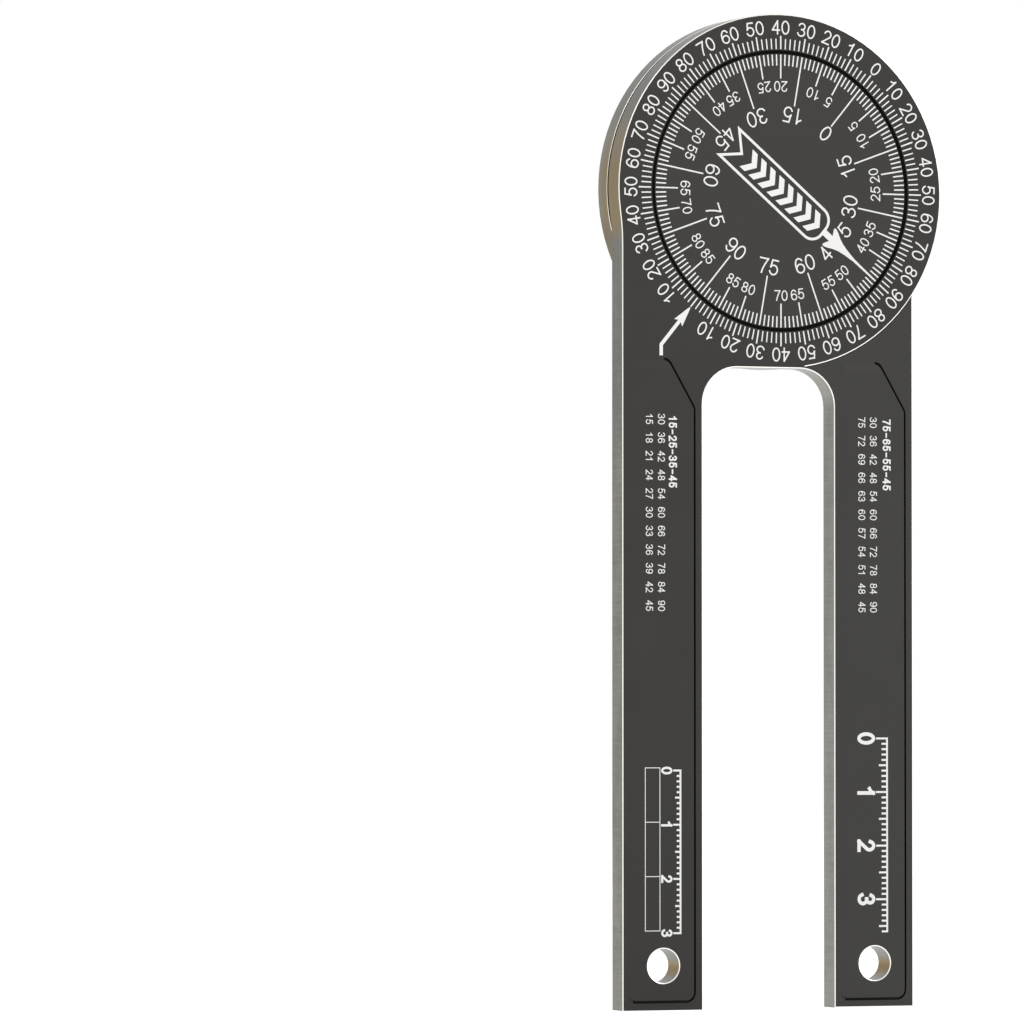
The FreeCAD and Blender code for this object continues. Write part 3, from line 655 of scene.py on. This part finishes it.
# ---- Banner and arrow on the dial -------------------------------------------------------------------
# An outlined ribbon with a notched tail lies across the dial and ends in an arrow at the 45 mark. Plain
# chevrons fill it. It is printed with the dial's scale.
BANNER_TURN = RING_ZERO + ARROW_MARK * TICK_STEP       # the arrow's direction, clockwise from the top
BANNER_TAIL = -14.4
BANNER_NOTCH = -10.8
BANNER_NOSE = 11.7
BANNER_HALF_WIDTH = 3.45
BANNER_CORNER = 2.7
BANNER_LINE = 0.5
CHEVRON_COUNT = 8
CHEVRON_FROM = -9.3
CHEVRON_STEP = 2.4
CHEVRON_HALF_WIDTH = 2.1
CHEVRON_THICKNESS = 1.35
CHEVRON_POINT = 1.5
ARROW_SHAFT = 0.6
ARROW_HALF = [                                  # right half of the arrow behind its tip: along, across
    (19.6, 0.24), (17.6, 0.5), (16.0, 0.82), (14.8, 1.3), (14.0, 1.75), (13.1, 2.1), (12.75, 1.95),
    (12.85, 1.6), (13.4, ARROW_SHAFT), (BANNER_NOSE, ARROW_SHAFT)]


def outline_face(drawing, points):
    """Flat face through points given as (along, across); along is up the drawing."""
    corners = [drawing.verts.new((across, along, -INK_HALF)) for along, across in points]
    return drawing.faces.new(corners)


def thicken(drawing, faces):
    """Raises flat ink shapes from just under the metal's face to just above it."""
    raised = bmesh.ops.extrude_face_region(drawing, geom=faces, use_keep_orig=True)["geom"]
    corners = [item for item in raised if isinstance(item, bmesh.types.BMVert)]
    bmesh.ops.translate(drawing, verts=corners, vec=(0, 0, 2 * INK_HALF))


def mirrored(half):
    """Closed outline from its right half, listed from the front to the back."""
    return half + [(along, -across) for along, across in reversed(half) if across]


banner = bmesh.new()
ribbon = outline_face(banner, mirrored([
    (BANNER_NOSE, BANNER_HALF_WIDTH), (BANNER_TAIL, BANNER_HALF_WIDTH), (BANNER_NOTCH, 0)]))
nose = [corner for corner in ribbon.verts if corner.co.y > 0]
bmesh.ops.bevel(banner, geom=nose, offset=BANNER_CORNER, offset_type="OFFSET", segments=8, profile=0.5,
                affect="VERTICES", material=-1)
bmesh.ops.inset_region(banner, faces=banner.faces[:], thickness=BANNER_LINE, use_boundary=True,
                       use_even_offset=True)
inside = max(banner.faces, key=lambda face: face.calc_area())
bmesh.ops.delete(banner, geom=[inside], context="FACES_ONLY")
shapes = banner.faces[:]
for index in range(CHEVRON_COUNT):
    back = CHEVRON_FROM + CHEVRON_STEP * index
    front = back + CHEVRON_THICKNESS
    shapes.append(outline_face(banner, [
        (front + CHEVRON_POINT, 0), (front, CHEVRON_HALF_WIDTH), (back, CHEVRON_HALF_WIDTH),
        (back + CHEVRON_POINT, 0), (back, -CHEVRON_HALF_WIDTH), (front, -CHEVRON_HALF_WIDTH)]))
shapes.append(outline_face(banner, mirrored([(DIAL_TICK_FROM, LONG_TICK / 2)] + ARROW_HALF)))
thicken(banner, shapes)
banner.transform(Matrix.Rotation(radians(-BANNER_TURN), 4, "Z"))
place_print("dial_banner", banner, "right_arm_body")


# ---- Bent pointer on the left arm -------------------------------------------------------------------
# An arrow with a bent shaft, printed in the same ink with the ring's scale. It stands beside the arch
# and points at the mark that the left arm sets.
POINTER_ANGLE = 220
POINTER_TIP = 28.4
POINTER_HEAD = 4.2
POINTER_HALF_WIDTH = 1.05
POINTER_SHAFT = 0.68
POINTER_BARB = POINTER_HEAD * 0.9               # from the tip to where the shaft meets the head
POINTER_FOOT = (-24.4, -31.1)
POINTER_BEND_RIGHT = -29.2                      # where the shaft's two edges bend
POINTER_BEND_LEFT = -28.95

pointer = bmesh.new()
aim = Matrix.Rotation(radians(-POINTER_ANGLE), 2)
half_shaft = POINTER_SHAFT / 2
head = [tuple(aim @ Vector((across, POINTER_TIP + behind))) for behind, across in (
    (POINTER_BARB, -half_shaft), (POINTER_HEAD, -POINTER_HALF_WIDTH), (0, 0),
    (POINTER_HEAD, POINTER_HALF_WIDTH), (POINTER_BARB, half_shaft))]
left, right = POINTER_FOOT[0] - half_shaft, POINTER_FOOT[0] + half_shaft
corners = [(right, POINTER_FOOT[1]), (right, POINTER_BEND_RIGHT), *head, (left, POINTER_BEND_LEFT),
           (left, POINTER_FOOT[1])]
thicken(pointer, [outline_face(pointer, [(up, across) for across, up in corners])])
place_print("ring_pointer", pointer, "left_arm_body")


# ---- Number tables on the legs ----------------------------------------------------------------------
# Small printed tables for the saw: a bold range, a row of corner angles, and under it the saw's setting
# for each. They read down the legs, with the tops of the figures to the right.
DOWN = 90                                       # tops turned to the right
HEADER_HEIGHT = 1.67
HEADER_STROKE = 0.3
ROW_HEIGHT = 1.45
ROW_STROKE = 0.168
TABLE_TOP = -41.8
HEADER_CENTRE = 7.1                             # below the table's top
CELL_PITCH = 3.45
FIRST_CELL = 1.1
HEADER_SETTINGS = 4
LEFT_HEADER, LEFT_CORNERS, LEFT_SETTINGS = -22.2, -24.5, -26.95        # where each table's lines run
RIGHT_HEADER, RIGHT_CORNERS, RIGHT_SETTINGS = 21.6, 18.85, 16.45
CORNERS = range(30, 91, 6)                      # degrees


def print_table(name, body, header_across, rows):
    table = bmesh.new()
    first, last = rows[-1][1][0], rows[-1][1][-1]
    gaps = HEADER_SETTINGS - 1
    header = "-".join(str(first + (last - first) * share // gaps) for share in range(HEADER_SETTINGS))
    write(table, header, HEADER_HEIGHT, HEADER_STROKE, (header_across, TABLE_TOP - HEADER_CENTRE), DOWN)
    for across, cells in rows:
        for index, cell in enumerate(cells):
            below = TABLE_TOP - FIRST_CELL - CELL_PITCH * index
            write(table, str(cell), ROW_HEIGHT, ROW_STROKE, (across, below), DOWN)
    place_print(name, table, body, PANEL_Y)


print_table("left_leg_table", "left_arm_body", LEFT_HEADER, [
    (LEFT_CORNERS, CORNERS), (LEFT_SETTINGS, [corner // 2 for corner in CORNERS])])
print_table("right_leg_table", "right_arm_body", RIGHT_HEADER, [
    (RIGHT_CORNERS, CORNERS), (RIGHT_SETTINGS, [90 - corner // 2 for corner in CORNERS])])


# ---- Millimetre rules on the legs -------------------------------------------------------------------
# A short bold rule near the end of each leg, counted in centimetres. The left one has an empty box of
# three fields beside it, for a pencilled note.
RULE_STEP = 1.0
RULE_TICKS = (0.95, 1.5, 2.1)                   # each millimetre, each fifth and each tenth
RULE_LINE = 0.36
FIGURE_GAP = 0.35                               # between the longest ticks and the figures
RIGHT_RULE = {"edge": 21.6, "top": -101.9, "length": 36, "scale": 1.0, "height": 3.7, "weight": 0.68}
LEFT_RULE = {"edge": -20.7, "top": -107.8, "length": 30, "scale": 0.6, "height": 2.3, "weight": 0.42}
BOX_LINE = 0.14
BOX_LEFT, BOX_RIGHT, BOX_TOP, BOX_BOTTOM = -27.8, -24.85, -107.3, -137.35
BOX_FIELDS = 3


def stroke(drawing, start, end, width, layer=0):
    """Straight ink line between two points that lie level or plumb."""
    middle = Matrix.Translation(((start[0] + end[0]) / 2, (start[1] + end[1]) / 2, layer * INK_LAYER))
    size = (abs(end[0] - start[0]) + width, abs(end[1] - start[1]) + width, 2 * INK_HALF, 1)
    bmesh.ops.create_cube(drawing, size=1.0, matrix=middle @ Matrix.Diagonal(size))


def draw_rule(drawing, edge, top, length, scale, height, weight):
    """Rule with its ticks running in from an edge at the right, and a bold figure at each centimetre."""
    for count in range(length + 1):
        kind = 2 if count % 10 == 0 else 1 if count % 5 == 0 else 0
        below = top - RULE_STEP * count
        stroke(drawing, (edge - RULE_TICKS[kind] * scale, below), (edge, below), RULE_LINE)
        if kind == 2:
            across = edge - RULE_TICKS[2] * scale - FIGURE_GAP - height / 2
            write(drawing, str(count // 10), height, weight, (across, below), DOWN)
    stroke(drawing, (edge, top), (edge, top - RULE_STEP * length), RULE_LINE, layer=1)


right_rule = bmesh.new()
draw_rule(right_rule, **RIGHT_RULE)
place_print("right_leg_rule", right_rule, "right_arm_body", PANEL_Y)

left_rule = bmesh.new()
draw_rule(left_rule, **LEFT_RULE)
for across in (BOX_LEFT, BOX_RIGHT):
    stroke(left_rule, (across, BOX_TOP), (across, BOX_BOTTOM), BOX_LINE)
for field in range(BOX_FIELDS + 1):
    below = BOX_TOP + (BOX_BOTTOM - BOX_TOP) * field / BOX_FIELDS
    stroke(left_rule, (BOX_LEFT, below), (BOX_RIGHT, below), BOX_LINE, layer=1)
place_print("left_leg_rule", left_rule, "left_arm_body", PANEL_Y)


# ---- Studio: floor, backdrop and lights -------------------------------------------------------------
# A plain pale floor under a white surround. The key light stands high at the front left, so that the
# raised panels throw their thin shadow to the right and down. Two wide, weaker lights fill the right
# side and the back.
FLOOR_HALF = 6.0
FLOOR_COLOUR = (0.5, 0.5, 0.5, 1)
FLOOR_SHADE = 0.97                              # of the floor's colour, where its grain is darkest
FLOOR_GLOW = 0.76
WHITE = (1, 1, 1, 1)
SURROUND_FILL = 0.62
AIM = Vector((0, 0, 0.1))

scene = bpy.context.scene
scene.view_settings.view_transform = "Standard"

floor_drawing = bmesh.new()
bmesh.ops.create_grid(floor_drawing, x_segments=1, y_segments=1, size=FLOOR_HALF)
floor_mesh = bpy.data.meshes.new("floor")
floor_drawing.to_mesh(floor_mesh)
floor_drawing.free()
floor = bpy.data.objects.new("floor", floor_mesh)
scene.collection.objects.link(floor)


def seen_directly(tree):
    """1 for rays that look straight at a thing or see it mirrored in metal or through glass."""
    path = add(tree, "LightPath", {})
    mirrored_ray = calc(tree, "MAXIMUM", path.outputs["Is Glossy Ray"], path.outputs["Is Transmission Ray"])
    return calc(tree, "MAXIMUM", path.outputs["Is Camera Ray"], mirrored_ray)


paper, tree, shader = new_material("pale floor", Roughness=0.9, Specular_IOR_Level=0.0)
grain = use_effect(tree, blasted_grain, Grain_size=2.0)
shade = weighed(tree, FLOOR_SHADE, (grain["Grain"], 1 - FLOOR_SHADE))
link(tree, blend_colours(tree, 1.0, FLOOR_COLOUR, shade, "MULTIPLY"), shader, "Base Color")
shader.inputs["Emission Color"].default_value = WHITE
link(tree, calc(tree, "MULTIPLY", seen_directly(tree), FLOOR_GLOW), shader, "Emission Strength")
floor_mesh.materials.append(paper)

world = bpy.data.worlds.new("white surround")
world.use_nodes = True
tree = world.node_tree
tree.nodes.clear()
strength = calc(tree, "MAXIMUM", seen_directly(tree), SURROUND_FILL)
surround = add(tree, "Background", {"Color": WHITE, "Strength": strength})
add(tree, "OutputWorld", {0: surround.outputs[0]})
scene.world = world


def softbox(name, where, size, power):
    lamp = bpy.data.lights.new(name, "AREA")
    lamp.size = size
    lamp.energy = power
    holder = bpy.data.objects.new(name, lamp)
    holder.location = where
    holder.rotation_euler = (AIM - Vector(where)).to_track_quat("-Z", "Y").to_euler()
    scene.collection.objects.link(holder)


softbox("key light", where=(-0.9, -1.1, 1.2), size=0.35, power=22.0)
softbox("right fill", where=(1.4, -1.2, 0.7), size=1.2, power=8.0)
softbox("rear fill", where=(1.1, 0.9, 1.4), size=0.8, power=20.0)


# ---- Camera -----------------------------------------------------------------------------------------
# A long lens that stands to the left of the tool and a little low, and looks slightly up at it. It aims
# left of the tool, which so stands at the right of the frame.
VIEW_AZIMUTH = radians(22.9)
VIEW_ELEVATION = radians(-1.63)
VIEW_DISTANCE = 1.397
LENS = 268.1
SENSOR = 36
VIEW_CENTRE_FROM_PIVOT = Vector((-54.34, 0, -60.4)) * MM

camera_data = bpy.data.cameras.new("camera")
camera_data.lens = LENS
camera_data.sensor_width = SENSOR
camera = bpy.data.objects.new("camera", camera_data)
back = Vector((-sin(VIEW_AZIMUTH) * cos(VIEW_ELEVATION), -cos(VIEW_AZIMUTH) * cos(VIEW_ELEVATION),
               sin(VIEW_ELEVATION)))
view_centre = PIVOT + VIEW_CENTRE_FROM_PIVOT
view_centre.y = FACE_Y
camera.location = view_centre + back * VIEW_DISTANCE
camera.rotation_euler = (-back).to_track_quat("-Z", "Y").to_euler()
scene.collection.objects.link(camera)
scene.camera = camera
